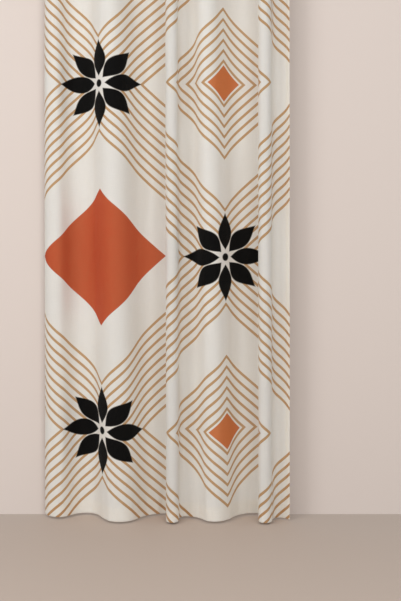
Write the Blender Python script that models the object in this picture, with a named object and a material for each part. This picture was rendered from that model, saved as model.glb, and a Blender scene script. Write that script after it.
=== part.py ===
# A printed curtain panel as it hangs, with the gathering tape on the back of its top edge.
#
# Frame: metres, +Z up. The origin is the middle of the top edge. The printed side faces -Y, into the room,
# and the wall behind is on the +Y side. X runs along the width.
#
# The cloth can't stretch, so each level of the curtain is one curve of the same length, the flat width. The
# curve is given by the direction of the cloth along its own width: zero where it runs straight across,
# positive where it turns towards the room. Between a crest and the next trough that direction swings out
# and back once, which gives the round folds of a real cloth, tubes that overhang their sides included.

from collections import namedtuple

import bpy
import numpy as np

# Driving dimensions.
DROP = 2.60              # top edge to hem
FLAT_WIDTH = 1.45        # side to side, laid flat
HUNG_WIDTH = 0.88        # side to side, as it hangs
CLOTH = 0.002            # thickness of the plain cloth
HEM_CLOTH = 0.003        # thickness where it is turned over, all of the extra on the back
SIDE_HEM = 0.020
BOTTOM_HEM = 0.050
TOP_TURN = 0.090
HEM_STEP = 0.003         # width of the slope between the two thicknesses

TAPE_HEIGHT = 0.070
TAPE_THICKNESS = 0.0012
TAPE_BELOW_EDGE = 0.006
SEAM_GAP = 0.0003        # between the cloth's back and the tape

# Heading: waves drawn up by the tape, deeper where the folds below take up more cloth.
HEADING_WAVES = 13
DEEPEST_SWING = 1.75     # most that the cloth turns in a heading wave, radians
EVENED_OVER = 0.10       # how far along the cloth the folds' fullness is spread for the heading
STEEPEST = 1.65          # directions past about this are held back where the cloth gathers, radians
FOLDS_HEIGHT = 1.87      # above the hem: the upper columns of the fold table hold here
GATHER_FROM = 1.88       # above the hem: the folds start to part into the heading's waves
GATHER_TO = 2.50         # and here they have become those waves
GATHER_EASE = 1.6        # more than 1: slowly at first

# One row for each crest and trough, from the left edge to the right one: how far it is from the left edge
# and how far it stands out towards the room, at the hem and at FOLDS_HEIGHT. The two turn columns say how
# soon the cloth is at its steepest on its way to the next row: 0.5 is halfway, and less is nearer to this
# row.
Fold = namedtuple("Fold", "place hem_x hem_out hem_turn upper_x upper_out upper_turn")
FOLDS = (
    Fold("left edge", 0.000, 0.010, 0.50, 0.000, 0.012, 0.50),
    Fold("crest 1", 0.057, 0.060, 0.46, 0.038, 0.060, 0.40),
    Fold("trough 1", 0.148, 0.004, 0.50, 0.112, 0.006, 0.53),
    Fold("crest 2", 0.278, 0.119, 0.41, 0.246, 0.112, 0.28),
    Fold("trough 2", 0.442, 0.004, 0.50, 0.435, 0.006, 0.50),
    Fold("crest 3", 0.467, 0.125, 0.46, 0.461, 0.120, 0.44),
    Fold("trough 3", 0.510, 0.045, 0.56, 0.505, 0.044, 0.53),
    Fold("crest 4", 0.615, 0.116, 0.40, 0.584, 0.114, 0.28),
    Fold("trough 4", 0.770, 0.005, 0.50, 0.765, 0.007, 0.50),
    Fold("crest 5", 0.793, 0.127, 0.46, 0.792, 0.122, 0.44),
    Fold("trough 5", 0.844, 0.054, 0.50, 0.846, 0.050, 0.50),
    Fold("right edge", 0.879, 0.080, 0.50, 0.878, 0.078, 0.50),
)

# Facets.
COLUMNS_BETWEEN_HEMS = 126
ROW_HEIGHTS = (
    0.0, BOTTOM_HEM, BOTTOM_HEM + HEM_STEP, 0.50, 0.97, 1.43, FOLDS_HEIGHT, 2.00, 2.10, 2.19, 2.28, 2.38,
    GATHER_TO, DROP - TOP_TURN - HEM_STEP, DROP - TOP_TURN, DROP,
)
PLAN_STEPS = 1451        # samples along the cloth's width when a level is worked out, 1 mm apart
LOBE_STEPS = 200

CLOTH_COLOUR = (0.80, 0.76, 0.69, 1.0)
TAPE_COLOUR = (0.86, 0.85, 0.82, 1.0)


def smooth(x):
    """0 below 0, 1 above 1, and an even slope-free change between them."""
    x = np.clip(x, 0.0, 1.0)
    return x * x * (3.0 - 2.0 * x)


def lobe(across, out, turn, start, end):
    """Directions along one lobe of cloth that goes this far across and out, and its length.

    The direction is swing * sin(pi * w), where w goes from 0 to 1 as t does and passes 0.5 when t is at
    turn. The swing is the one whose mean direction points from this crest or trough to the next."""
    t = np.linspace(start, end, LOBE_STEPS)
    lead = 1.0 / turn - 1.0
    shape = np.sin(np.pi * lead * t / (1.0 + (lead - 1.0) * t))
    swings = np.linspace(0.0, 2.2, 221)
    along_x = np.cos(swings[:, None] * shape).mean(axis=1)
    along_out = np.sin(swings[:, None] * shape).mean(axis=1)
    slopes = np.arctan2(along_out, along_x)
    rising = int(np.argmax(slopes)) + 1
    swing = np.interp(np.arctan2(abs(out), across), slopes[:rising], swings[:rising])
    reach = np.hypot(np.cos(swing * shape).mean(), np.sin(swing * shape).mean())
    return np.sign(out) * swing * shape, np.hypot(across, out) / reach


def fold_directions(height):
    """The cloth's direction along its width, from the fold table, at a height above the hem."""
    f = min(height / FOLDS_HEIGHT, 1.0)
    x = np.array([r.hem_x + (r.upper_x - r.hem_x) * f for r in FOLDS])
    out = np.array([r.hem_out + (r.upper_out - r.hem_out) * f for r in FOLDS])
    turn = [r.hem_turn + (r.upper_turn - r.hem_turn) * f for r in FOLDS]
    directions, lengths = [], []
    last = len(FOLDS) - 2
    for i in range(len(FOLDS) - 1):
        start = 0.5 if i == 0 else 0.0    # the side edges are free, so the cloth starts and
        end = 0.5 if i == last else 1.0   # ends in the middle of a lobe
        values, length = lobe(x[i + 1] - x[i], out[i + 1] - out[i], turn[i], start, end)
        directions.append(values)
        lengths.append(np.full(LOBE_STEPS, length / LOBE_STEPS))
    along = np.cumsum(np.concatenate(lengths))
    along = (along - along[0]) / (along[-1] - along[0]) * FLAT_WIDTH
    return np.interp(np.linspace(0.0, FLAT_WIDTH, PLAN_STEPS), along, np.concatenate(directions))


def evened(values):
    """A running average along the cloth, weighted by a bell curve EVENED_OVER wide."""
    step = FLAT_WIDTH / (PLAN_STEPS - 1)
    reach = int(3.0 * EVENED_OVER / step)
    bell = np.exp(-0.5 * (np.arange(-reach, reach + 1) * step / EVENED_OVER) ** 2)
    return np.convolve(np.pad(values, reach, mode="reflect"), bell / bell.sum(), "valid")


def gathered(folds, share):
    """The folds' directions when this share of them has parted into the heading's waves.

    The folds flatten by that share. The waves swing just enough to take up the cloth this sets free, so
    that it hangs straight down from the heading: a wave's swing is the one with the right mean cosine."""
    swings = np.linspace(0.0, DEEPEST_SWING, 200)
    waves = np.cos(2.0 * np.pi * HEADING_WAVES * np.linspace(0.0, 1.0, PLAN_STEPS))
    mean_cosines = np.cos(swings[:, None] * waves).mean(axis=1)
    left = folds * (1.0 - share)
    wanted = evened(np.cos(folds)) / evened(np.cos(left))
    direction = left + np.interp(-wanted, -mean_cosines, swings) * waves
    held_back = min(1.0, 8.0 * share) * (np.abs(direction) / STEEPEST) ** 3
    return direction / np.cbrt(1.0 + held_back)


def drawn(direction):
    """X and Y along the flat width: directions scaled until the hung width is right, then summed up."""
    low, high = 0.5, 1.6
    for _ in range(40):
        middle = (low + high) / 2.0
        if np.cos(direction * middle).mean() * FLAT_WIDTH > HUNG_WIDTH:
            low = middle
        else:
            high = middle
    step = FLAT_WIDTH / (PLAN_STEPS - 1)

    def running_sum(values):
        return np.concatenate([[0.0], np.cumsum((values[1:] + values[:-1]) / 2.0)]) * step

    x = running_sum(np.cos(direction * low))
    y = -running_sum(np.sin(direction * low))
    return x - x[-1] / 2.0, y - y.mean()


def level(height, along):
    """X, Y and direction of the cloth's middle surface at a height, for places along its flat width."""
    share = smooth((height - GATHER_FROM) / (GATHER_TO - GATHER_FROM)) ** GATHER_EASE
    folds = fold_directions(height)
    x, y = drawn(gathered(folds, share))
    wandered = y - drawn(folds)[1] * (1.0 - share)
    y = y - evened(wandered)  # the cloth hangs straight below its heading
    direction = np.arctan2(-np.gradient(y), np.gradient(x))
    places = np.linspace(0.0, FLAT_WIDTH, PLAN_STEPS)
    return (np.interp(along, places, x), np.interp(along, places, y), np.interp(along, places, direction))


def side_of_cloth(height, along, offset):
    """Points of the cloth's surface moved by offset towards the room, at one height."""
    x, y, direction = level(height, along)
    return np.column_stack([
        x - np.sin(direction) * offset,
        y - np.cos(direction) * offset,
        np.full(len(along), height - DROP),
    ])


def closed_sheet(name, front, back, colour):
    """A closed body between two grids of points, front and back, each rows by columns from the hem up."""
    rows, columns = front.shape[:2]
    points = np.concatenate([front.reshape(-1, 3), back.reshape(-1, 3)])
    f = np.arange(rows * columns).reshape(rows, columns)
    b = f + rows * columns

    def strip(a, c):
        """Quads between two lines of points, facing to the right of a's run."""
        return np.column_stack([a[:-1], c[:-1], c[1:], a[1:]])

    quads = [np.stack([f[:-1, :-1], f[:-1, 1:], f[1:, 1:], f[1:, :-1]], axis=-1).reshape(-1, 4)]
    quads.append(np.stack([b[:-1, :-1], b[1:, :-1], b[1:, 1:], b[:-1, 1:]], axis=-1).reshape(-1, 4))
    quads.append(strip(f[0], b[0]))
    quads.append(strip(b[-1], f[-1]))
    quads.append(strip(b[:, 0], f[:, 0]))
    quads.append(strip(f[:, -1], b[:, -1]))
    mesh = bpy.data.meshes.new(name)
    mesh.from_pydata(points.tolist(), [], np.concatenate(quads).tolist())
    mesh.shade_smooth()
    mesh.set_sharp_from_angle(angle=np.radians(50.0))
    mesh.materials.append(fabric(name, colour))
    made = bpy.data.objects.new(name, mesh)
    bpy.context.scene.collection.objects.link(made)
    return made


def fabric(name, colour):
    """A matt woven material."""
    material = bpy.data.materials.new(name)
    material.use_nodes = True
    shader = material.node_tree.nodes["Principled BSDF"]
    shader.inputs["Base Color"].default_value = colour
    shader.inputs["Roughness"].default_value = 0.85
    shader.inputs["Metallic"].default_value = 0.0
    return material


def between_side_hems():
    """Even places along the flat width, inside the side hems."""
    margin = SIDE_HEM + HEM_STEP
    return np.linspace(margin, FLAT_WIDTH - margin, COLUMNS_BETWEEN_HEMS + 1)


def curtain_panel():
    """The printed cloth in one piece, thicker on its back along the hems."""
    along = np.concatenate([[0.0, SIDE_HEM], between_side_hems(), [FLAT_WIDTH - SIDE_HEM, FLAT_WIDTH]])
    from_side = np.minimum(along, FLAT_WIDTH - along)
    front, back = [], []
    for height in ROW_HEIGHTS:
        in_hem = height < BOTTOM_HEM + HEM_STEP / 2.0
        in_turn = height > DROP - TOP_TURN - HEM_STEP / 2.0
        turned = (from_side < SIDE_HEM + HEM_STEP / 2.0) | in_hem | in_turn
        front.append(side_of_cloth(height, along, CLOTH / 2.0))
        back.append(side_of_cloth(height, along, CLOTH / 2.0 - np.where(turned, HEM_CLOTH, CLOTH)))
    return closed_sheet("curtain_panel", np.array(front), np.array(back), CLOTH_COLOUR)


def heading_tape():
    """The woven tape behind the top edge, between the side hems, which follows the same waves."""
    along = between_side_hems()
    top = DROP - TAPE_BELOW_EDGE
    cloth_back = CLOTH / 2.0 - HEM_CLOTH
    front, back = [], []
    for height in (top - TAPE_HEIGHT, top):
        front.append(side_of_cloth(height, along, cloth_back - SEAM_GAP))
        back.append(side_of_cloth(height, along, cloth_back - SEAM_GAP - TAPE_THICKNESS))
    return closed_sheet("heading_tape", np.array(front), np.array(back), TAPE_COLOUR)


for old in list(bpy.data.objects):
    bpy.data.objects.remove(old)

curtain_panel()
heading_tape()
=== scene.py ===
import bpy
import numpy as np
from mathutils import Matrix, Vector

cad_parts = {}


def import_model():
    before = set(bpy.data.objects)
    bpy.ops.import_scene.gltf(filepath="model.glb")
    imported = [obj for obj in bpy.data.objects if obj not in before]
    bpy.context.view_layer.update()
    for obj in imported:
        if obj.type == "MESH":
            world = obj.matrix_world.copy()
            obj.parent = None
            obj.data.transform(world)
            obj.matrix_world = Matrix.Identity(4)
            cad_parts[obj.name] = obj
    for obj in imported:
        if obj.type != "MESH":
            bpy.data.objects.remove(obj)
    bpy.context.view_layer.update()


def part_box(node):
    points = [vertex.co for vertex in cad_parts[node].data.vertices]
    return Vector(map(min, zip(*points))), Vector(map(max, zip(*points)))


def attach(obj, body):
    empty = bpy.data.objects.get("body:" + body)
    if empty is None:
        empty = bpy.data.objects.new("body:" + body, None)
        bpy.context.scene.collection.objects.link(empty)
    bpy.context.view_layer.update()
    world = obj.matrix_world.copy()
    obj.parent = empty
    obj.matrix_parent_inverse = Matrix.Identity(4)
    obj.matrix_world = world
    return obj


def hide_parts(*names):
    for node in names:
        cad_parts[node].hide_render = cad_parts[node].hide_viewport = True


# A printed curtain hanging in uneven folds from its gathering tape. Metres, +Z up, the printed side facing
# -Y. Places on the cloth are given the way a maker measures it flat: s along the width from the left edge,
# h up from the hem.

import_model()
panelLow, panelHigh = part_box("curtain_panel")
tapeLow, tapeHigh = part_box("heading_tape")
hemZ = panelLow[2]
drop = panelHigh[2] - panelLow[2]

# How the cloth hangs: lengths in metres and swings in radians.
hanging = {
    "flatWidth": 1.45,
    "hungWidth": 0.88,
    "upperHeight": 1.87,     # the upper columns of the folds hold from here up
    "gatherFrom": 1.88,      # the folds part into the heading's waves between these heights,
    "gatherTo": 2.50,
    "gatherEase": 1.6,       # slowly at first
    "headingWaves": 13,
    "deepestSwing": 1.75,    # most that the cloth turns in a heading wave
    "evenedOver": 0.10,      # width of the bell that evens values along the cloth
    "steepest": 1.65,        # directions past about this are held back where the cloth gathers,
    "heldBackSoon": 8.0,     # fully so once the folds have parted by an eighth
    "widestLobe": 2.2,       # most that a lobe may swing
}

# Crests and troughs from the left edge to the right one. Columns: from the left edge, out towards the
# room, and how soon the cloth is at its steepest on its way to the next row (0.5 is halfway), first at the
# hem, then at upperHeight.
folds = np.array([
    (0.000, 0.010, 0.50, 0.000, 0.012, 0.50),   # left edge
    (0.057, 0.060, 0.46, 0.038, 0.060, 0.40),   # crest 1
    (0.148, 0.004, 0.50, 0.112, 0.006, 0.53),   # trough 1
    (0.278, 0.119, 0.41, 0.246, 0.112, 0.28),   # crest 2
    (0.442, 0.004, 0.50, 0.435, 0.006, 0.50),   # trough 2
    (0.467, 0.125, 0.46, 0.461, 0.120, 0.44),   # crest 3
    (0.510, 0.045, 0.56, 0.505, 0.044, 0.53),   # trough 3
    (0.615, 0.116, 0.40, 0.584, 0.114, 0.28),   # crest 4
    (0.770, 0.005, 0.50, 0.765, 0.007, 0.50),   # trough 4
    (0.793, 0.127, 0.46, 0.792, 0.122, 0.44),   # crest 5
    (0.844, 0.054, 0.50, 0.846, 0.050, 0.50),   # trough 5
    (0.879, 0.080, 0.50, 0.878, 0.078, 0.50),   # right edge
])
planSteps = 1451     # samples along the flat width, 1 mm apart
lobeSteps = 200      # samples along one lobe
swingSteps = 221     # swings tried for a lobe
waveSteps = 200      # swings tried for the heading's waves
halvings = 40        # of the range that the scale of the directions lies in
flatPlaces = np.linspace(0.0, hanging["flatWidth"], planSteps)
flatStep = flatPlaces[1]


# An S-shaped change from 0 to 1.
def smooth(x):
    x = np.clip(x, 0.0, 1.0)
    return x * x * (3.0 - 2.0 * x)


# One lobe of cloth between a crest and a trough: its direction swings out and back as
# swing * sin(pi * w), where w goes from 0 to 1 as t does and passes 0.5 when t is at turn. The swing is the
# one whose mean direction points from one to the other.
def lobe(across, out, turn, start, end):
    t = np.linspace(start, end, lobeSteps)
    lead = 1.0 / turn - 1.0
    shape = np.sin(np.pi * lead * t / (1.0 + (lead - 1.0) * t))
    swings = np.linspace(0.0, hanging["widestLobe"], swingSteps)
    turned = swings[:, None] * shape
    slopes = np.arctan2(np.sin(turned).mean(axis=1), np.cos(turned).mean(axis=1))
    rising = int(np.argmax(slopes)) + 1
    swing = np.interp(np.arctan2(abs(out), across), slopes[:rising], swings[:rising])
    reach = np.hypot(np.cos(swing * shape).mean(), np.sin(swing * shape).mean())
    return np.sign(out) * swing * shape, np.hypot(across, out) / reach


# Directions along the flat width at one height: the lobes end to end, their lengths brought to the width.
def foldDirections(h):
    share = min(h / hanging["upperHeight"], 1.0)
    rows = folds[:, :3] * (1.0 - share) + folds[:, 3:] * share
    last = len(rows) - 2
    directions, lengths = [], []
    for i in range(len(rows) - 1):
        start = 0.5 if i == 0 else 0.0
        end = 0.5 if i == last else 1.0
        values, length = lobe(*(rows[i + 1, :2] - rows[i, :2]), rows[i, 2], start, end)
        directions.append(values)
        lengths.append(np.full(lobeSteps, length / lobeSteps))
    along = np.cumsum(np.concatenate(lengths))
    along = (along - along[0]) / (along[-1] - along[0]) * hanging["flatWidth"]
    return np.interp(flatPlaces, along, np.concatenate(directions))


# A running average along the width, weighted by a bell curve.
def evened(values):
    reach = int(3.0 * hanging["evenedOver"] / flatStep)
    bell = np.exp(-0.5 * (np.arange(-reach, reach + 1) * flatStep / hanging["evenedOver"]) ** 2)
    return np.convolve(np.pad(values, reach, mode="reflect"), bell / bell.sum(), "valid")


# The folds flatten by a share, and the heading's waves take up the cloth that sets free: a wave's swing is
# the one with the right mean cosine.
def gathered(directions, share):
    swings = np.linspace(0.0, hanging["deepestSwing"], waveSteps)
    waves = np.cos(2.0 * np.pi * hanging["headingWaves"] * np.linspace(0.0, 1.0, planSteps))
    meanCosines = np.cos(swings[:, None] * waves).mean(axis=1)
    left = directions * (1.0 - share)
    wanted = evened(np.cos(directions)) / evened(np.cos(left))
    turned = left + np.interp(-wanted, -meanCosines, swings) * waves
    heldBack = min(1.0, hanging["heldBackSoon"] * share) * (np.abs(turned) / hanging["steepest"]) ** 3
    return turned / np.cbrt(1.0 + heldBack)


# X and Y along the flat width: directions scaled until their cosines add up to the hung width, then summed.
def drawn(directions):
    low, high = 0.5, 1.6
    for _ in range(halvings):
        middle = (low + high) / 2.0
        if np.cos(directions * middle).mean() * hanging["flatWidth"] > hanging["hungWidth"]:
            low = middle
        else:
            high = middle
    sides = np.array([np.cos(directions * low), -np.sin(directions * low)])
    run = np.cumsum((sides[:, 1:] + sides[:, :-1]) / 2.0, axis=1) * flatStep
    x = np.concatenate([[0.0], run[0]])
    y = np.concatenate([[0.0], run[1]])
    return x - x[-1] / 2.0, y - y.mean()


# The cloth's line at one height. Where the folds part into the heading's waves, what Y wanders from the
# folds' own, evened along the width, is taken off, so that the cloth hangs straight below its heading.
def level(h):
    reach = hanging["gatherTo"] - hanging["gatherFrom"]
    share = smooth((h - hanging["gatherFrom"]) / reach) ** hanging["gatherEase"]
    directions = foldDirections(h)
    x, y = drawn(gathered(directions, share))
    wandered = y - drawn(directions)[1] * (1.0 - share)
    return x, y - evened(wandered)


# The fine surface of the cloth: lengths in metres.
cloth = {
    "thickness": 0.0010,
    "hemThickness": 0.0026,
    "sideHem": 0.020,
    "bottomHem": 0.050,
    "topTurn": 0.090,
    "edgeStep": 0.0006,       # width of the step from plain cloth to a hem
    "rimWidth": 0.0022,       # how far in from an edge the cloth is rounded,
    "rimDepth": 0.0009,       # and by how much on each side
    "columns": 268,
    "rowSpacing": 0.024,
    "nearLines": (0.006, 0.012),   # extra grid lines this far from an edge or a hem
    "closest": 0.35,          # even lines this near to any other are left out, in spacings
    "ripple": 0.0011,         # height of the widest ripple: narrower ones are lower in proportion
    "rippleTurns": (5.3, 8.1, 11.7, 15.9, 22.3),   # ripples to a metre
    "rippleSway": 0.8,        # radians that a ripple wanders sideways,
    "rippleLean": 0.22,       # and share of a drawn angle that it leans by to a metre of height
    "rippleSwell": 0.35,      # share of its height that comes and goes
    "creaseFades": (0.35, 0.6),    # shares of a crease's length that it rises and fades over
    "pucker": 0.00055,
    "hemPucker": 0.031,       # length of a pucker along the bottom hem
    "hemPuckerReach": 0.024,
    "hemDrift": (2.2, 9.0),   # radians that the puckers drift by along the hem, and how fast
    "seamPucker": 0.043,      # and along a side hem
    "seamPuckerReach": 0.013,
    "seamDrift": (2.4, 5.0),
    "hemSway": 0.0012,        # how far the hem line rises and falls,
    "hemSwayTurn": 7.0,       # how many radians of that to a metre,
    "hemSwayStart": 0.6,      # from this angle at the left edge,
    "hemSwayUpTo": 0.5,       # and how far up it has died away
    "plainTop": 0.25,         # creases and ripples fade out this far below the top edge
    "seed": 7,
}

# Soft creases laid one by one. Columns: start s and h, end s and h, half width, and height, which is below
# zero for a trough.
creases = np.array([
    (0.075, 0.00, 0.100, 0.36, 0.010, 0.0022),
    (0.210, 0.00, 0.235, 0.22, 0.012, -0.0020),
    (0.330, 0.00, 0.318, 0.46, 0.011, 0.0022),
    (0.545, 0.00, 0.575, 0.30, 0.010, 0.0020),
    (0.930, 0.00, 0.905, 0.40, 0.011, 0.0020),
    (1.120, 0.00, 1.150, 0.26, 0.010, -0.0018),
    (1.345, 0.00, 1.330, 0.22, 0.009, 0.0022),
    (0.180, 0.70, 0.300, 1.18, 0.016, 0.0018),
    (0.480, 0.95, 0.560, 1.42, 0.015, -0.0018),
    (0.860, 0.62, 0.800, 1.10, 0.014, 0.0018),
    (1.060, 1.05, 1.140, 1.60, 0.016, 0.0018),
    (1.290, 0.80, 1.260, 1.30, 0.012, -0.0016),
    (0.120, 1.55, 0.090, 2.10, 0.012, 0.0020),
    (0.385, 1.75, 0.420, 2.20, 0.014, -0.0020),
    (0.640, 1.90, 0.690, 2.30, 0.011, 0.0020),
    (0.960, 1.78, 0.930, 2.24, 0.013, 0.0020),
    (1.210, 1.85, 1.250, 2.26, 0.011, -0.0018),
])


# Lines along an axis with some places doubled up to a small step, for the turned edges.
def gridLines(length, spacing, steps):
    even = np.linspace(0.0, length, int(round(length / spacing)) + 1)
    close = [place + side * cloth["edgeStep"] / 2.0 for place in steps for side in (-1.0, 1.0)]
    near = cloth["nearLines"]
    fine = [place + side * offset for place in steps for offset in near for side in (-1.0, 1.0)]
    edges = [end for offset in (cloth["rimWidth"], *near) for end in (offset, length - offset)]
    own = [v for v in close + fine + edges if 0.0 < v < length]
    clear = cloth["closest"] * spacing
    keep = [v for v in even if min(abs(v - o) for o in own) > clear or v in (0.0, length)]
    return np.array(sorted(keep + own))


# The height that creases and ripples add to the cloth, towards the room. A ripple is a sine across the width
# that sways and swells on the way up. A crease is a bell across its line that fades at its ends, except at
# the hem. Along the stitched hems the cloth puckers in short sines that die away on both sides.
def relief(s, h):
    width = hanging["flatWidth"]
    draw = np.random.default_rng(cloth["seed"])
    total = np.zeros_like(s)
    for turns in cloth["rippleTurns"]:
        phase, lean, slow, wander = draw.uniform(-np.pi, np.pi, 4)
        wandering = np.sin(h * (1.1 + 0.3 * slow) + wander)
        sway = cloth["rippleSway"] * wandering + cloth["rippleLean"] * lean * h
        swell = cloth["rippleSwell"]
        strength = 1.0 - swell + swell * np.sin(1.7 * h + 3.1 * s + wander)
        height = cloth["ripple"] * cloth["rippleTurns"][0] / turns
        total += height * strength * np.sin(2.0 * np.pi * turns * s + phase + sway)
    for s0, h0, s1, h1, halfWidth, height in creases:
        runS, runH = s1 - s0, h1 - h0
        t = ((s - s0) * runS + (h - h0) * runH) / (runS ** 2 + runH ** 2)
        away = ((s - s0) * runH - (h - h0) * runS) / np.hypot(runS, runH)
        rise, fade = cloth["creaseFades"]
        ends = smooth(t / rise) if h0 > 0.0 else 1.0
        total += height * np.exp(-(away / halfWidth) ** 2) * ends * smooth((1.0 - t) / fade) * (t > -0.5)
    fromSide = np.minimum(s, width - s)
    nearHem = np.exp(-np.abs(h - cloth["bottomHem"]) / cloth["hemPuckerReach"])
    nearSeam = np.exp(-np.abs(fromSide - cloth["sideHem"]) / cloth["seamPuckerReach"])
    hemDrift, hemRate = cloth["hemDrift"]
    seamDrift, seamRate = cloth["seamDrift"]
    alongHem = 2.0 * np.pi * s / cloth["hemPucker"] + hemDrift * np.sin(hemRate * s)
    alongSeam = 2.0 * np.pi * h / cloth["seamPucker"] + seamDrift * np.sin(seamRate * h + s)
    total += cloth["pucker"] * nearHem * np.sin(alongHem)
    total += cloth["pucker"] * nearSeam * np.sin(alongSeam)
    return total


# The way the cloth's front faces at each point of its grid: the cross product of its two slopes.
def facing(points):
    across = np.gradient(points, axis=1)
    up = np.gradient(points, axis=0)
    normals = np.cross(across, up)
    return normals / np.linalg.norm(normals, axis=2, keepdims=True)


print("Working out the folds")
sideLines = [cloth["sideHem"], hanging["flatWidth"] - cloth["sideHem"]]
alongLines = gridLines(hanging["flatWidth"], hanging["flatWidth"] / cloth["columns"], sideLines)
heightLines = gridLines(drop, cloth["rowSpacing"], [cloth["bottomHem"], drop - cloth["topTurn"]])
plan = np.array([level(h) for h in heightLines])
gridX = np.array([np.interp(alongLines, flatPlaces, x) for x in plan[:, 0]])
gridY = np.array([np.interp(alongLines, flatPlaces, y) for y in plan[:, 1]])
gridS, gridH = np.meshgrid(alongLines, heightLines)
nearFloor = smooth(1.0 - gridH / cloth["hemSwayUpTo"])
swaying = np.sin(cloth["hemSwayTurn"] * gridS + cloth["hemSwayStart"])
hungZ = hemZ + gridH + cloth["hemSway"] * swaying * nearFloor
middle = np.dstack([gridX, gridY, hungZ])
outward = facing(middle)
middle = middle + outward * (relief(gridS, gridH) * smooth((drop - gridH) / cloth["plainTop"]))[..., None]
outward = facing(middle)


# A point of the cloth's middle surface and its outward direction at any s and h, read between grid lines.
def onCloth(s, h):
    column = np.interp(s, alongLines, np.arange(len(alongLines)))
    row = np.interp(h, heightLines, np.arange(len(heightLines)))
    c0 = np.minimum(column.astype(int), len(alongLines) - 2)
    r0 = np.minimum(row.astype(int), len(heightLines) - 2)
    fc = (column - c0)[..., None]
    fr = (row - r0)[..., None]

    def between(grid):
        low = grid[r0, c0] * (1.0 - fc) + grid[r0, c0 + 1] * fc
        high = grid[r0 + 1, c0] * (1.0 - fc) + grid[r0 + 1, c0 + 1] * fc
        return low * (1.0 - fr) + high * fr

    return between(middle), between(outward)


# How a sheet is laid out for baking: its front and its mirrored back side by side, and rim strips round the
# front.
layout = {
    "gap": 0.012,         # of the sheet's longer side
    "fill": 0.98,         # of the square
    "rimShare": 0.6,      # of a gap that a rim strip takes
    "sharpDegrees": 60.0,
}


# One skin of a sheet or one strip along its rim: a grid of points as quads, with a flat place for each
# corner, both as cut and as laid out for baking.
def patch(points, flat, laid):
    rows, columns = points.shape[:2]
    numbers = np.arange(rows * columns).reshape(rows, columns)
    quads = np.stack([numbers[:-1, :-1], numbers[:-1, 1:], numbers[1:, 1:], numbers[1:, :-1]], axis=-1)
    return {"points": points.reshape(-1, 3), "quads": quads.reshape(-1, 4),
            "flat": flat.reshape(-1, 2), "laid": laid.reshape(-1, 2)}


# A closed sheet between two grids of points. Each side's flat places are given, and the rims are strips
# from the front's border to the back's. Points that meet are merged, so the sheet is closed.
def sheetMesh(name, front, back, frontFlat, backFlat, wrongSide):
    size = np.array([np.ptp(frontFlat[..., 0]), np.ptp(frontFlat[..., 1])])
    gap = layout["gap"] * size.max()
    # Margins of one and a half gaps or more, and two gaps between the sides.
    laidSize = np.array([2.0 * size[0] + 5.0 * gap, size[1] + 4.0 * gap])
    scale = layout["fill"] / laidSize.max()
    place = frontFlat - frontFlat.reshape(-1, 2).min(axis=0)
    frontLaid = (place + 1.5 * gap) * scale
    mirrored = np.dstack([size[0] - place[..., 0], place[..., 1]])
    backLaid = (mirrored + 1.5 * gap + np.array([size[0] + 2.0 * gap, 0.0])) * scale
    patches = [patch(front, frontFlat, frontLaid)]
    patches.append(patch(back[:, ::-1], backFlat[:, ::-1], backLaid[:, ::-1]))
    rims = (
        (np.s_[0, ::-1], (0.0, -1.0)),    # hem
        (np.s_[-1, :], (0.0, 1.0)),       # top
        (np.s_[:, 0], (-1.0, 0.0)),       # left
        (np.s_[::-1, -1], (1.0, 0.0)),    # right
    )
    for cut, away in rims:
        pair = np.stack([front[cut], back[cut]])
        flat = np.stack([frontFlat[cut], backFlat[cut]])
        laid = np.stack([frontLaid[cut], frontLaid[cut] + layout["rimShare"] * gap * scale * np.array(away)])
        patches.append(patch(pair, flat, laid))
    points = np.concatenate([p["points"] for p in patches])
    starts = np.cumsum([0] + [len(p["points"]) for p in patches[:-1]])
    quads = np.concatenate([p["quads"] + start for p, start in zip(patches, starts)])
    flat = np.concatenate([p["flat"] for p in patches])[quads.ravel()]
    laid = np.concatenate([p["laid"] for p in patches])[quads.ravel()]
    wrong = [np.zeros(front.shape[:2]), wrongSide[:, ::-1]]
    wrong += [np.zeros((2, front[cut].shape[0])) for cut, away in rims]
    wrong = np.concatenate([w.ravel() for w in wrong])
    places = np.round(points, 6)
    first, same = np.unique(places, axis=0, return_index=True, return_inverse=True)[1:]
    corners = same.ravel()[quads]
    mesh = bpy.data.meshes.new(name)
    mesh.from_pydata(points[first].tolist(), [], corners.tolist())
    for layer, values in (("flatCloth", flat), ("OFBake", laid)):
        mesh.uv_layers.new(name=layer).data.foreach_set("uv", values.astype(np.float32).ravel())
    kept = mesh.attributes.new("wrongSide", "FLOAT", "CORNER")
    kept.data.foreach_set("value", wrong[quads.ravel()].astype(np.float32))
    mesh.shade_smooth()
    mesh.set_sharp_from_angle(angle=np.radians(layout["sharpDegrees"]))
    return addPiece(name, mesh)


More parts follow.
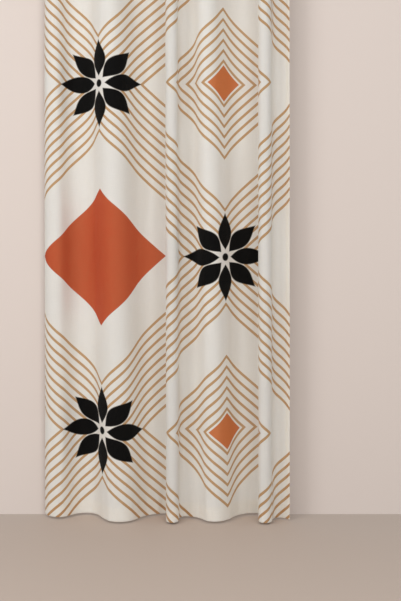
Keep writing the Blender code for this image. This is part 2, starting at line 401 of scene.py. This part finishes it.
# Short lengths of thread: a profile of a few sides carried along each stitch's path, closed at both ends and
# slimmer there, down to endShare of its radius. paths is stitches by steps by 3, and up is the way each
# step's thread stands off the cloth.
def threadMesh(name, paths, up, radius, sides=4, endShare=0.45):
    stitches, steps = paths.shape[:2]
    along = np.gradient(paths, axis=1)
    along /= np.linalg.norm(along, axis=2, keepdims=True)
    side = np.cross(along, up)
    side /= np.linalg.norm(side, axis=2, keepdims=True)
    rise = np.cross(side, along)
    turn = 2.0 * np.pi * (np.arange(sides) + 0.5) / sides
    slim = endShare + (1.0 - endShare) * np.sin(np.pi * np.linspace(0.0, 1.0, steps)) ** 0.5
    ring = np.cos(turn)[:, None] * side[:, :, None] + np.sin(turn)[:, None] * rise[:, :, None]
    points = paths[:, :, None] + ring * radius * slim[None, :, None, None]
    numbers = np.arange(stitches * steps * sides).reshape(stitches, steps, sides)
    following = np.roll(numbers, -1, axis=2)
    quads = np.stack([numbers[:, :-1], numbers[:, 1:], following[:, 1:], following[:, :-1]], axis=-1)
    ends = np.concatenate([numbers[:, 0], numbers[:, -1, ::-1]])
    faces = quads.reshape(-1, 4).tolist() + ends.tolist()
    mesh = bpy.data.meshes.new(name)
    mesh.from_pydata(points.reshape(-1, 3).tolist(), [], faces)
    mesh.shade_smooth()
    return addPiece(name, mesh)


# A mesh put into the scene under its name.
def addPiece(name, mesh):
    mesh.update()
    piece = bpy.data.objects.new(name, mesh)
    bpy.context.scene.collection.objects.link(piece)
    return piece


# A shader socket that can stand in sums. Each operator adds one Math node, and the reflected forms let a
# number stand on the left.
class Shade:
    def __init__(self, graph, socket):
        self.graph = graph
        self.socket = socket

    def math(self, operation, *values):
        return self.graph.node("ShaderNodeMath", {"operation": operation}, list(values))

    def __add__(self, other):
        return self.math("ADD", self, other)

    def __radd__(self, other):
        return self.math("ADD", other, self)

    def __sub__(self, other):
        return self.math("SUBTRACT", self, other)

    def __rsub__(self, other):
        return self.math("SUBTRACT", other, self)

    def __mul__(self, other):
        return self.math("MULTIPLY", self, other)

    def __rmul__(self, other):
        return self.math("MULTIPLY", other, self)

    def __truediv__(self, other):
        return self.math("DIVIDE", self, other)

    def __pow__(self, other):
        return self.math("POWER", self, other)

    def __abs__(self):
        return self.math("ABSOLUTE", self)

    def below(self, other):
        return self.math("LESS_THAN", self, other)

    def above(self, other):
        return self.math("GREATER_THAN", self, other)

    def rounded(self):
        return self.math("ROUND", self)

    def larger(self, other):
        return self.math("MAXIMUM", self, other)

    def smaller(self, other):
        return self.math("MINIMUM", self, other)

    # 1 where this is over zero and 0 where it is under, changing over a width.
    def edge(self, width):
        made = self.math("MULTIPLY_ADD", self, 1.0 / width, 0.5)
        made.socket.node.use_clamp = True
        return made


# One material and the nodes that feed its shader.
class Finish:
    def __init__(self, name, roughness, sheen=0.0, specular=0.2, seepage=0.0):
        self.material = bpy.data.materials.new(name)
        self.material.use_nodes = True
        self.tree = self.material.node_tree
        self.shader = self.tree.nodes["Principled BSDF"]
        self.shader.inputs["Roughness"].default_value = roughness
        self.shader.inputs["Sheen Weight"].default_value = sheen
        self.shader.inputs["Sheen Roughness"].default_value = 0.5
        self.shader.inputs["Specular IOR Level"].default_value = specular
        self.shader.inputs["Subsurface Weight"].default_value = seepage
        self.shader.inputs["Subsurface Radius"].default_value = (1.0, 0.9, 0.8)
        self.shader.inputs["Subsurface Scale"].default_value = 0.008

    # Any node, from its type, its settings, the values or links of its sockets, and the output wanted.
    def node(self, kind, settings=None, sockets=(), output=0):
        made = self.tree.nodes.new(kind)
        for key, value in (settings or {}).items():
            setattr(made, key, value)
        pairs = sockets.items() if isinstance(sockets, dict) else enumerate(sockets)
        for place, value in pairs:
            self.feed(made.inputs[place], value)
        return Shade(self, made.outputs[output])

    # A link from a shade, or a plain value, into a socket.
    def feed(self, socket, value):
        if isinstance(value, Shade):
            self.tree.links.new(value.socket, socket)
        else:
            socket.default_value = value

    # Two colours, the second where the mask is 1.
    def mixed(self, first, second, mask):
        settings = {"data_type": "RGBA", "blend_type": "MIX"}
        return self.node("ShaderNodeMix", settings, {0: mask, 6: first, 7: second}, output=2)

    # A colour times an amount of light.
    def shaded(self, colour, amount):
        grey = self.node("ShaderNodeCombineColor", {}, [amount, amount, amount])
        settings = {"data_type": "RGBA", "blend_type": "MULTIPLY"}
        return self.node("ShaderNodeMix", settings, {0: 1.0, 6: colour, 7: grey}, output=2)

    # u and v of the cloth laid flat, in metres.
    def flatPlace(self):
        uv = self.node("ShaderNodeUVMap", {"uv_map": "flatCloth"})
        parts = self.node("ShaderNodeSeparateXYZ", {}, [uv])
        return parts, Shade(self, parts.socket.node.outputs[1])

    # Soft noise on the flat cloth, with its own scale each way.
    def noise(self, u, v, scaleU, scaleV):
        place = self.node("ShaderNodeCombineXYZ", {}, [u * scaleU, v * scaleV, 0.0])
        sockets = {"Vector": place, "Scale": 1.0, "Detail": 2.0, "Roughness": 0.6}
        return self.node("ShaderNodeTexNoise", {"noise_dimensions": "3D"}, sockets)

    # A height turned into the shader's Normal.
    def bump(self, height, distance, strength):
        sockets = {"Height": height, "Distance": distance, "Strength": strength}
        made = self.node("ShaderNodeBump", {}, sockets)
        self.feed(self.shader.inputs["Normal"], made)


# A colour as mixed on a screen, turned into the light it stands for.
def ink(red, green, blue):
    values = np.array([red, green, blue]) / 255.0
    linear = np.where(values > 0.04045, ((values + 0.055) / 1.055) ** 2.4, values / 12.92)
    return (*linear.tolist(), 1.0)


print("Making the printed cloth")
weave = {
    "ground": ink(228, 222, 212),
    "groundBack": ink(231, 226, 217),
    "terracotta": ink(178, 74, 44),
    "orange": ink(193, 106, 58),
    "tan": ink(179, 140, 99),
    "black": ink(5, 5, 5),
    "threadPitch": 0.0011,
    "showThrough": 0.14,      # how much of the print shows behind
    "fray": 0.0011,           # metres that the print's edges stray over
    "frays": (420.0, 420.0),  # scales of noise along s and h, as are the next four
    "warpSlubs": (520.0, 26.0),
    "weftSlubs": (24.0, 560.0),
    "clouds": (5.0, 3.0),
    "wanders": (60.0, 60.0),
    "wander": 2.4,            # radians that the threads wander by
    "slubTone": 0.075,
    "cloudTone": 0.03,
    "roughness": 0.84,
    "inkSmoother": 0.08,
    "slubRougher": 0.1,
    "slubHeight": 0.9,
    "threadHeight": 0.22,
    "bumpDistance": 0.00035,
    "bumpStrength": 0.7,
}

# A half-drop repeat of lozenges, generic and worked out from these sizes.
repeat = {
    "halfWidth": 0.725,
    "halfHeight": 0.62,
    "startS": 0.288,          # a lozenge's middle
    "startH": 0.935,
    "firstLine": 0.97,        # of a lozenge's half size, as the lines and cores below
    "lineSpacing": 0.06,
    "lineHalf": 0.0098,
    "outerLines": 4,
    "innerFrom": 9,
    "innerTo": 14,
    "solidCore": 0.395,
    "smallCore": 0.105,
    "flowerRadius": 0.162,
    "flowerStretch": 1.24,
    "petals": 8,
    "petalFrom": 0.15,        # this and the other sizes below are shares of a flower's radius
    "petalWidth": 0.195,
    "petalTrim": 0.008,
    "petalLean": 0.85,        # under 1: widest nearer to the middle
    "petalPoint": 1.3,        # over 1: pointed
    "eyeRadius": 0.085,
    "heartRadius": 0.36,      # the tan lines stop here
    "flowerSoftness": 0.02,
    "softness": 0.0024,       # of a lozenge's half size
}


# Lozenges: with p and q counted in half sizes from one centre, (p + q) / 2 and (p - q) / 2 run along the
# sides, so rounding both finds the nearest lozenge, and the larger remainder is how far out of it we are.
def lozengeField(finish, u, v):
    p = (u - repeat["startS"]) / repeat["halfWidth"]
    q = (v - repeat["startH"]) / repeat["halfHeight"]
    first = (p + q) * 0.5
    second = (p - q) * 0.5
    row = first.rounded()
    column = second.rounded()
    out = abs(first - row).larger(abs(second - column)) * 2.0
    other = finish.node("ShaderNodeMath", {"operation": "FLOORED_MODULO"}, [row + column, 2.0])
    return p, q, out, other


# Flowers where the lozenges meet at their points: petals are counted round the centre by angle, and each
# is as wide as a sine of the way along it. Gives the flower's mask and that of the heart round its middle.
def flowerField(finish, p, q):
    halfWidth, halfHeight = repeat["halfWidth"], repeat["halfHeight"]
    p1 = p - 1.0
    first = (p1 + q) * 0.5
    second = (p1 - q) * 0.5
    row = first.rounded()
    column = second.rounded()
    x = (p1 - (row + column)) * (halfWidth / repeat["flowerStretch"] / repeat["flowerRadius"])
    y = (q - (row - column)) * (halfHeight / repeat["flowerRadius"])
    away = (x * x + y * y) ** 0.5
    angle = finish.node("ShaderNodeMath", {"operation": "ARCTAN2"}, [y, x])
    step = 2.0 * np.pi / repeat["petals"]
    turned = finish.node("ShaderNodeMath", {"operation": "FLOORED_MODULO"}, [angle + step / 2.0, step])
    turned = turned - step / 2.0
    alongPetal = away * finish.node("ShaderNodeMath", {"operation": "COSINE"}, [turned])
    acrossPetal = abs(away * finish.node("ShaderNodeMath", {"operation": "SINE"}, [turned]))
    soft = repeat["flowerSoftness"]
    t = ((alongPetal - repeat["petalFrom"]) / (1.0 - repeat["petalFrom"])).larger(0.0).smaller(1.0)
    belly = finish.node("ShaderNodeMath", {"operation": "SINE"}, [(t ** repeat["petalLean"]) * np.pi])
    wide = (belly ** repeat["petalPoint"]) * repeat["petalWidth"] - repeat["petalTrim"]
    petal = (wide - acrossPetal).edge(soft)
    eye = (repeat["eyeRadius"] - away).edge(soft)
    heart = (repeat["heartRadius"] - away).edge(soft)
    return petal.larger(eye), heart


# The printed cloth's material: the print mixed colour by colour over the ground, fainter on the back, then
# the threads.
def printedCloth():
    finish = Finish("printedCloth", 0.85, sheen=0.03, specular=0.08, seepage=0.5)
    u, v = finish.flatPlace()
    fray = (finish.noise(u, v, *weave["frays"]) - 0.5) * weave["fray"]
    p, q, out, other = lozengeField(finish, u + fray, v + fray)
    spacing = repeat["lineSpacing"]
    count = (repeat["firstLine"] - out) / spacing
    nearest = count.rounded()
    soft = repeat["softness"]
    line = (repeat["lineHalf"] - abs(count - nearest) * spacing).edge(soft)
    outer = nearest.below(repeat["outerLines"] + 0.5)
    inner = nearest.above(repeat["innerFrom"] - 0.5) * nearest.below(repeat["innerTo"] + 0.5) * other
    flower, heart = flowerField(finish, p, q)
    lines = line * outer.larger(inner) * (1.0 - heart)
    solid = (repeat["solidCore"] - out).edge(soft) * (1.0 - other)
    small = (repeat["smallCore"] - out).edge(soft) * other

    colour = finish.mixed(weave["ground"], weave["tan"], lines)
    colour = finish.mixed(colour, weave["terracotta"], solid)
    colour = finish.mixed(colour, weave["orange"], small)
    colour = finish.mixed(colour, weave["black"], flower)
    wrong = finish.node("ShaderNodeAttribute", {"attribute_name": "wrongSide"}, output="Fac")
    ghost = finish.mixed(weave["groundBack"], colour, weave["showThrough"])
    colour = finish.mixed(colour, ghost, wrong)

    # Threads: slubs stretched along each direction of the weave, and the weave itself.
    warpSlub = finish.noise(u, v, *weave["warpSlubs"])
    weftSlub = finish.noise(u, v, *weave["weftSlubs"])
    cloudy = finish.noise(u, v, *weave["clouds"])
    tone = 1.0 + (warpSlub - 0.5) * weave["slubTone"] + (weftSlub - 0.5) * weave["slubTone"]
    tone = tone + (cloudy - 0.5) * weave["cloudTone"]
    finish.feed(finish.shader.inputs["Base Color"], finish.shaded(colour, tone))
    inked = solid.larger(small).larger(flower)
    rough = weave["roughness"] - weave["inkSmoother"] * inked + (weftSlub - 0.5) * weave["slubRougher"]
    finish.feed(finish.shader.inputs["Roughness"], rough)
    pitch = weave["threadPitch"]
    wander = (finish.noise(u, v, *weave["wanders"]) - 0.5) * weave["wander"]
    warp = finish.node("ShaderNodeMath", {"operation": "SINE"}, [u * (2.0 * np.pi / pitch) + wander])
    weft = finish.node("ShaderNodeMath", {"operation": "SINE"}, [v * (2.0 * np.pi / pitch) + wander])
    slubHeight = weave["slubHeight"]
    threads = warp * weft * weave["threadHeight"] + warpSlub * slubHeight + weftSlub * slubHeight
    finish.bump(threads, weave["bumpDistance"], weave["bumpStrength"])
    return finish.material


# The curtain as a closed sheet: the middle surface set off to both sides, further behind where it is turned.
def curtainPiece():
    half = cloth["thickness"] / 2.0
    width = hanging["flatWidth"]
    fromSide = np.minimum(gridS, width - gridS)
    inSideHem = fromSide < cloth["sideHem"]
    inHem = gridH < cloth["bottomHem"]
    inTurn = gridH > drop - cloth["topTurn"]
    turned = inSideHem | inHem | inTurn
    # Both sides are drawn in a little at each rim, so that the cloth's edges are round.
    rimS = np.minimum(fromSide / cloth["rimWidth"], 1.0)
    rimH = np.minimum(np.minimum(gridH, drop - gridH) / cloth["rimWidth"], 1.0)
    rim = np.sqrt(1.0 - (1.0 - np.minimum(rimS, rimH)) ** 2)
    front = middle + outward * (half - cloth["rimDepth"] * (1.0 - rim))[..., None]
    depth = np.where(turned, cloth["hemThickness"] - half, half)
    back = middle - outward * (depth - cloth["rimDepth"] * (1.0 - rim))[..., None]
    frontFlat = np.dstack([gridS, gridH])
    # A hem shows the printed side again behind, mirrored about its fold.
    backS = np.where(inSideHem, np.where(gridS < width / 2.0, -gridS, 2.0 * width - gridS), gridS)
    backH = np.where(inHem, -gridH, np.where(inTurn, 2.0 * drop - gridH, gridH))
    backFlat = np.dstack([backS, backH])
    wrongSide = np.where(turned, 0.0, 1.0)
    return sheetMesh("printed_cloth", front, back, frontFlat, backFlat, wrongSide)


curtain = curtainPiece()
curtain.data.materials.append(printedCloth())
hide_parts("curtain_panel")
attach(curtain, "root")


print("Making the tape and the stitching")
tape = {
    "belowEdge": round(panelHigh[2] - tapeHigh[2], 6),    # these two to a micrometre
    "height": round(tapeHigh[2] - tapeLow[2], 6),
    "thickness": 0.0010,
    "clear": 0.00015,
    "sideMargin": 0.023,
    "rows": (0.0, 0.012, 0.05, 0.14, 0.3, 0.42, 0.5, 0.58, 0.7, 0.86, 0.95, 0.988, 1.0),   # of its height
    "selvedge": 0.55,        # share of its thickness that a selvedge keeps,
    "selvedgeWidth": 0.045,  # and share of its height that the thinning takes
    "cords": (0.016, 0.035, 0.054),   # up from the tape's lower edge
    "cordRadius": 0.0011,
    "cordSides": 8,
    "cordSteps": 7,
    "cordArch": 0.6,         # under 1: flatter on top than a sine
    "cordSunk": 0.4,         # of its radius that a cord's line lies inside the tape where a float starts
    "cordsFromEnds": 0.012,  # the cords start this far inside the tape's ends
    "floatPitch": 0.012,
    "floatShare": 0.66,      # of a pitch that a float is long
    "ribPitch": 0.0016,
    "pickPitch": 0.0009,
    "pocketInset": 0.002,    # how far inside the outer cords the pockets stop
    "pocketEdge": 0.6,       # softness of their sides
    "slubs": (500.0, 40.0),
    "colour": ink(245, 243, 238),
    "tone": 0.97,
    "slubTone": 0.1,
    "pocketTone": 0.03,
    "ribTone": 0.012,
    "roughness": 0.88,
    "pocketSmoother": 0.1,
    "heights": {"rib": 0.5, "pick": 0.35, "pocket": 1.6, "slub": 0.5},
    "bumpDistance": 0.0004,
    "bumpStrength": 0.8,
    "cordColours": (ink(222, 219, 210), ink(240, 238, 232)),
    "strandScale": 900.0,
    "strandDistance": 0.0003,
    "strandStrength": 0.6,
}


# The tape's points: a grid across the waves, set off behind the turned top edge. Its selvedges are thin. It
# bends on the cloth's own lines, so that it never cuts a corner of the cloth.
def tapePiece():
    width = hanging["flatWidth"]
    ends = [tape["sideMargin"], width - tape["sideMargin"]]
    s = np.array(sorted(ends + [line for line in alongLines if ends[0] < line < ends[1]]))
    up = tape["height"] * np.array(tape["rows"])
    low = drop - tape["belowEdge"] - tape["height"]
    flatS, flatH = np.meshgrid(s, up)
    place, out = onCloth(flatS, flatH + low)
    behind = cloth["hemThickness"] - cloth["thickness"] / 2.0 + tape["clear"]
    edge = np.minimum(flatH, tape["height"] - flatH) / tape["height"]
    thin = tape["selvedge"]
    body = tape["thickness"] * (thin + (1.0 - thin) * smooth(edge / tape["selvedgeWidth"]))
    front = place - out * behind
    back = front - out * body[..., None]
    flat = np.dstack([flatS, flatH])
    return sheetMesh("gathering_tape", front, back, flat, flat, np.ones(flatS.shape))


# The draw cords: each shows as floats between the tape's pockets, short arches of cord that rise out of the
# tape and go back into it.
def cordPiece():
    width = hanging["flatWidth"]
    first = tape["sideMargin"] + tape["cordsFromEnds"]
    starts = np.arange(first, width - first - tape["floatPitch"], tape["floatPitch"])
    t = np.linspace(0.0, 1.0, tape["cordSteps"])
    length = tape["floatPitch"] * tape["floatShare"]
    behind = cloth["hemThickness"] - cloth["thickness"] / 2.0 + tape["clear"] + tape["thickness"]
    low = drop - tape["belowEdge"] - tape["height"]
    paths, ups = [], []
    for i, cordUp in enumerate(tape["cords"]):
        s = starts[:, None] + (i % 2) * tape["floatPitch"] / 2.0 + t * length
        place, out = onCloth(s, np.full_like(s, low + cordUp))
        lift = behind + tape["cordRadius"] * (np.sin(np.pi * t) ** tape["cordArch"] - tape["cordSunk"])
        paths.append(place - out * lift[:, None])
        ups.append(-out)
    paths, ups = np.concatenate(paths), np.concatenate(ups)
    return threadMesh("tape_cords", paths, ups, tape["cordRadius"], tape["cordSides"])


# The tape's material: ribs across picks, both as sines, with its pockets standing up between the cords.
def tapeWeave():
    finish = Finish("tapeWeave", 0.85, sheen=0.1, seepage=0.4)
    u, v = finish.flatPlace()
    rib = finish.node("ShaderNodeMath", {"operation": "SINE"}, [u * (2.0 * np.pi / tape["ribPitch"])])
    pick = finish.node("ShaderNodeMath", {"operation": "SINE"}, [v * (2.0 * np.pi / tape["pickPitch"])])
    # Pockets: bars of floating warp, from the lowest cord up to the highest.
    bar = finish.node("ShaderNodeMath", {"operation": "SINE"}, [u * (2.0 * np.pi / tape["floatPitch"])])
    low = tape["cords"][0] + tape["pocketInset"]
    high = tape["cords"][-1] - tape["pocketInset"]
    inside = v.above(low) * v.below(high)
    pocket = bar.edge(tape["pocketEdge"]) * inside
    slub = finish.noise(u, v, *tape["slubs"])
    tone = tape["tone"] + (slub - 0.5) * tape["slubTone"] + pocket * tape["pocketTone"]
    tone = tone - rib * tape["ribTone"]
    finish.feed(finish.shader.inputs["Base Color"], finish.shaded(tape["colour"], tone))
    finish.feed(finish.shader.inputs["Roughness"], tape["roughness"] - pocket * tape["pocketSmoother"])
    height = tape["heights"]
    woven = rib * height["rib"] + pick * height["pick"] + pocket * height["pocket"] + slub * height["slub"]
    finish.bump(woven, tape["bumpDistance"], tape["bumpStrength"])
    return finish.material


# The cords' material: noise as fine as their strands.
def cordTwist():
    finish = Finish("cordTwist", 0.7, sheen=0.1)
    place = finish.node("ShaderNodeTexCoord", {}, output="Object")
    sockets = {"Vector": place, "Scale": tape["strandScale"], "Detail": 1.0}
    strands = finish.node("ShaderNodeTexNoise", {}, sockets)
    finish.feed(finish.shader.inputs["Base Color"], finish.mixed(*tape["cordColours"], strands))
    finish.bump(strands, tape["strandDistance"], tape["strandStrength"])
    return finish.material


gatheringTape = tapePiece()
gatheringTape.data.materials.append(tapeWeave())
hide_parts("heading_tape")
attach(gatheringTape, "root")
cords = cordPiece()
cords.data.materials.append(cordTwist())
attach(cords, "root")


stitching = {
    "pitch": 0.0046,
    "length": 0.0036,
    "radius": 0.00026,
    "steps": 4,
    "from": 0.1,             # of a pitch, where each stitch starts
    "arch": 0.7,             # under 1: flatter on top than a sine
    "rise": 1.5,             # of its radius that a stitch rises by,
    "sunk": 0.9,             # from this far inside the cloth
    "hemLine": 0.047,
    "sideLine": 0.0165,
    "fromEdges": 0.004,      # stitches keep this far from an edge of the cloth or tape
    "tapeFromEnds": 0.002,
    "colours": (ink(222, 214, 200), ink(236, 229, 216)),
    "driftScale": 30.0,
}


# A line of stitches between two flat places, on one side of the cloth: side is 1 in front and -1 behind, and
# depth is how far that surface lies from the middle one. Each stitch is an arch that starts and ends inside
# the cloth.
def stitchLine(start, end, side, depth):
    start, end = np.array(start), np.array(end)
    run = np.linalg.norm(end - start)
    count = int(run / stitching["pitch"])
    t = np.linspace(0.0, 1.0, stitching["steps"])
    starts = np.arange(count)[:, None] + stitching["from"]
    along = (starts + t * stitching["length"] / stitching["pitch"]) / count
    s = start[0] + (end[0] - start[0]) * along
    h = start[1] + (end[1] - start[1]) * along
    place, out = onCloth(s, h)
    radius = stitching["radius"]
    arch = np.sin(np.pi * t) ** stitching["arch"]
    lift = depth + radius * (stitching["rise"] * arch - stitching["sunk"])
    return place + side * out * lift[:, None], side * out


# Several lines of stitches as one piece.
def stitchPiece(name, lines):
    made = [stitchLine(*line) for line in lines]
    paths = np.concatenate([line[0] for line in made])
    ups = np.concatenate([line[1] for line in made])
    return threadMesh(name, paths, ups, stitching["radius"])


# The sewing thread's material: two shades that drift along it.
def threadFinish():
    finish = Finish("sewingThread", 0.62, sheen=0.05)
    place = finish.node("ShaderNodeTexCoord", {}, output="Object")
    sockets = {"Vector": place, "Scale": stitching["driftScale"], "Detail": 1.0}
    drift = finish.node("ShaderNodeTexNoise", {}, sockets)
    finish.feed(finish.shader.inputs["Base Color"], finish.mixed(*stitching["colours"], drift))
    return finish.material


# The bottom hem's line of stitches and the two side hems', on both sides of the cloth.
def hemStitches():
    width = hanging["flatWidth"]
    side, hem, end = stitching["sideLine"], stitching["hemLine"], stitching["fromEdges"]
    frontDepth = cloth["thickness"] / 2.0
    backDepth = cloth["hemThickness"] - frontDepth
    top = drop - tape["belowEdge"]
    lines = []
    for face, depth in ((1.0, frontDepth), (-1.0, backDepth)):
        lines.append(((end, hem), (width - end, hem), face, depth))
        lines.append(((side, end), (side, top), face, depth))
        lines.append(((width - side, end), (width - side, top), face, depth))
    return stitchPiece("hem_stitches", lines)


# The two lines that hold the tape, on the front of the cloth and on the back of the tape.
def tapeStitches():
    width = hanging["flatWidth"]
    ends = tape["sideMargin"] + stitching["tapeFromEnds"]
    low = drop - tape["belowEdge"] - tape["height"]
    frontDepth = cloth["thickness"] / 2.0
    backDepth = cloth["hemThickness"] - frontDepth + tape["clear"] + tape["thickness"]
    lines = []
    for face, depth in ((1.0, frontDepth), (-1.0, backDepth)):
        for up in (stitching["fromEdges"], tape["height"] - stitching["fromEdges"]):
            lines.append(((ends, low + up), (width - ends, low + up), face, depth))
    return stitchPiece("tape_stitches", lines)


thread = threadFinish()
for stitches in (hemStitches(), tapeStitches()):
    stitches.data.materials.append(thread)
    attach(stitches, "root")


print("Setting the stage")
stage = {
    "floorBelowHem": 0.008,
    "wallBehind": 0.016,
    "wallColour": ink(217, 205, 197),
    "floorColour": ink(193, 176, 163),
    "wallRoughness": 0.9,
    "floorRoughness": 0.6,
    "reach": 12.0,
    "wallTop": 3.0,
    "grainScale": 0.12,
    "grainFrom": 0.985,
    "grainTone": 0.03,
    "tint": (0.985, 1.0, 1.015),    # the light's colour
    "roomStrength": 0.55,
    "lights": {    # place, what it points at, size and watts
        "keyLight": ((-2.6, -2.9, -0.6), (0.0, 0.0, -1.5), (1.6, 2.4), 46.0),
        "highLight": ((-1.2, -3.2, 1.2), (0.0, 0.0, -1.3), (2.0, 2.0), 30.0),
        "roomLight": ((1.4, -3.8, -0.4), (0.0, 0.0, -1.4), (1.6, 2.0), 49.0),
    },
    "cameraAway": 4.0,
    "cameraAboveHem": 1.138,
    "cameraRight": 0.124,
    "lens": 65.9,
    "shiftDown": -0.167,
}
deepestY = float(middle[0, :, 1].max())


# A flat four-cornered piece of the stage.
def plainPlane(name, corners, material):
    mesh = bpy.data.meshes.new(name)
    mesh.from_pydata(corners, [], [(0, 1, 2, 3)])
    mesh.materials.append(material)
    made = addPiece(name, mesh)
    return made


# A stage colour with faint, wide variation.
def stageFinish(name, colour, roughness):
    finish = Finish(name, roughness)
    place = finish.node("ShaderNodeTexCoord", {}, output="Object")
    sockets = {"Vector": place, "Scale": stage["grainScale"], "Detail": 3.0}
    grain = finish.node("ShaderNodeTexNoise", {}, sockets)
    tone = stage["grainFrom"] + grain * stage["grainTone"]
    finish.feed(finish.shader.inputs["Base Color"], finish.shaded(colour, tone))
    return finish


# A level floor under the hem, and an upright wall behind the deepest fold.
def floorAndWall():
    floorZ = hemZ - stage["floorBelowHem"]
    wallY = deepestY + stage["wallBehind"]
    reach, top = stage["reach"], stage["wallTop"]
    floorFinish = stageFinish("paleFloor", stage["floorColour"], stage["floorRoughness"])
    around = ((-reach, -reach), (reach, -reach), (reach, reach), (-reach, reach))
    plainPlane("floor", [(x, y, floorZ) for x, y in around], floorFinish.material)
    # The wall is one-sided: from behind it isn't there, so the curtain's back can be seen and lit.
    wall = stageFinish("paleWall", stage["wallColour"], stage["wallRoughness"])
    side = wall.node("ShaderNodeNewGeometry", {}, output="Backfacing")
    clear = wall.node("ShaderNodeBsdfTransparent")
    mixed = wall.node("ShaderNodeMixShader", {}, [side, Shade(wall, wall.shader.outputs[0]), clear])
    output = wall.tree.nodes["Material Output"]
    wall.tree.links.new(mixed.socket, output.inputs["Surface"])
    around = ((-reach, floorZ), (reach, floorZ), (reach, top), (-reach, top))
    backdrop = plainPlane("backdrop", [(x, wallY, z) for x, z in around], wall.material)
    backdrop.visible_shadow = False
    backdrop.visible_diffuse = False


# An area light that faces the point it aims at: yaw and pitch from the line between the two.
def softLight(name, place, aim, size, power):
    light = bpy.data.lights.new(name, "AREA")
    light.shape = "RECTANGLE"
    light.size, light.size_y = size
    light.energy = power
    light.color = stage["tint"]
    made = bpy.data.objects.new(name, light)
    made.location = place
    towards = np.array(aim) - np.array(place)
    yaw = np.arctan2(towards[0], -towards[1])
    pitch = np.arctan2(np.hypot(towards[0], towards[1]), -towards[2])
    made.rotation_euler = (pitch, 0.0, yaw + np.pi)
    bpy.context.scene.collection.objects.link(made)


# Even light from all round, and colours shown as they are.
def world():
    bpy.context.scene.view_settings.view_transform = "Standard"
    made = bpy.data.worlds.new("softRoom")
    made.use_nodes = True
    background = made.node_tree.nodes["Background"]
    background.inputs["Color"].default_value = (*stage["tint"], 1.0)
    background.inputs["Strength"].default_value = stage["roomStrength"]
    bpy.context.scene.world = made


# A level camera in front of the curtain, with its picture shifted down to the hem.
def camera():
    lens = bpy.data.cameras.new("camera")
    lens.lens = stage["lens"]
    lens.shift_y = stage["shiftDown"]
    made = bpy.data.objects.new("camera", lens)
    made.location = (stage["cameraRight"], deepestY - stage["cameraAway"], hemZ + stage["cameraAboveHem"])
    made.rotation_euler = (np.pi / 2.0, 0.0, 0.0)
    bpy.context.scene.collection.objects.link(made)
    bpy.context.scene.camera = made


floorAndWall()
for name, values in stage["lights"].items():
    softLight(name, *values)
world()
camera()
